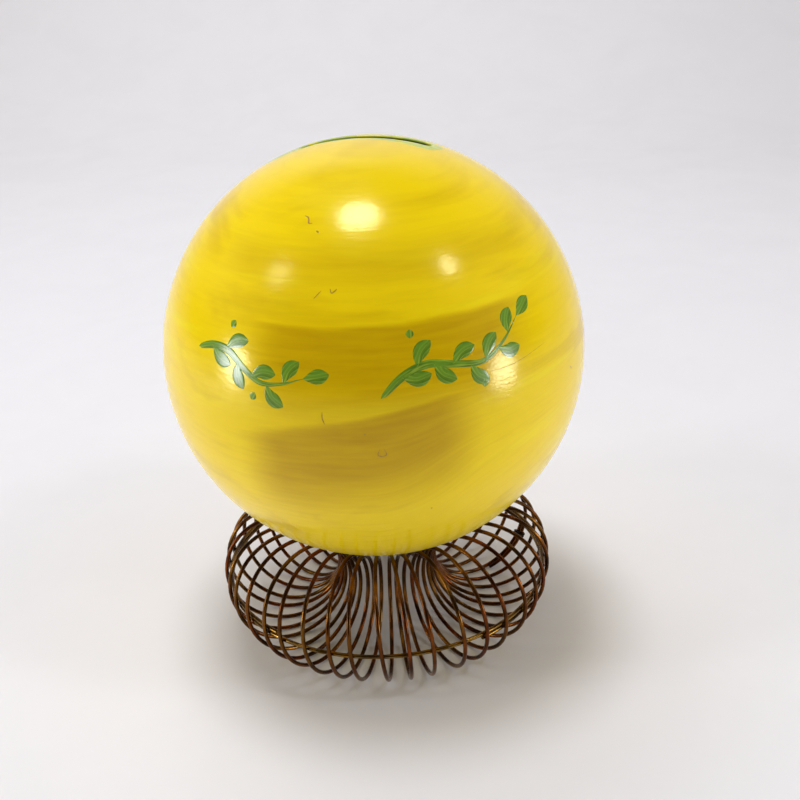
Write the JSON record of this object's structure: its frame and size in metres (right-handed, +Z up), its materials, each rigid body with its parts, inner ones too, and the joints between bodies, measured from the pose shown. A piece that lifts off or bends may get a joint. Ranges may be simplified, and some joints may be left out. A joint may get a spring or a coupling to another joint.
{
  "type": "ball coin bank on a ring stand",
  "caption": "Hollow ball coin bank with a slot in its top and a plug under it, resting loose on a ring made of coiled wire.",
  "frame": {"origin": "on the table, under the middle of the ring stand and of the ball", "axes": "+Z up, +X along the coin slot, -Y to the front"},
  "size_m": [0.12, 0.12, 0.1498],
  "materials": {
    "painted_shell": "hand-brushed glossy enamel over a hard shell",
    "plug_rubber": "moulded rubber",
    "coil_wire": "tarnished copper-coloured wire",
    "hoop_wire": "tarnished brass wire",
    "tie_wire": "dark tarnished wire"
  },
  "bodies": {
    "stand": {"stand_coil": "coil_wire", "core_hoop": "hoop_wire", "coil_tie": "tie_wire"},
    "ball": {"upper_shell": "painted_shell", "lower_shell": "painted_shell"},
    "plug": {"bottom_plug": "plug_rubber"}
  },
  "joints": [
    {"name": "ball_lift", "type": "slide", "parent": "stand", "child": "ball", "axis": [0, 0, 1], "range_m": [0, 0.16]},
    {"name": "plug_pull", "type": "slide", "parent": "ball", "child": "plug", "axis": [0, 0, -1], "range_m": [0, 0.02]}
  ]
}
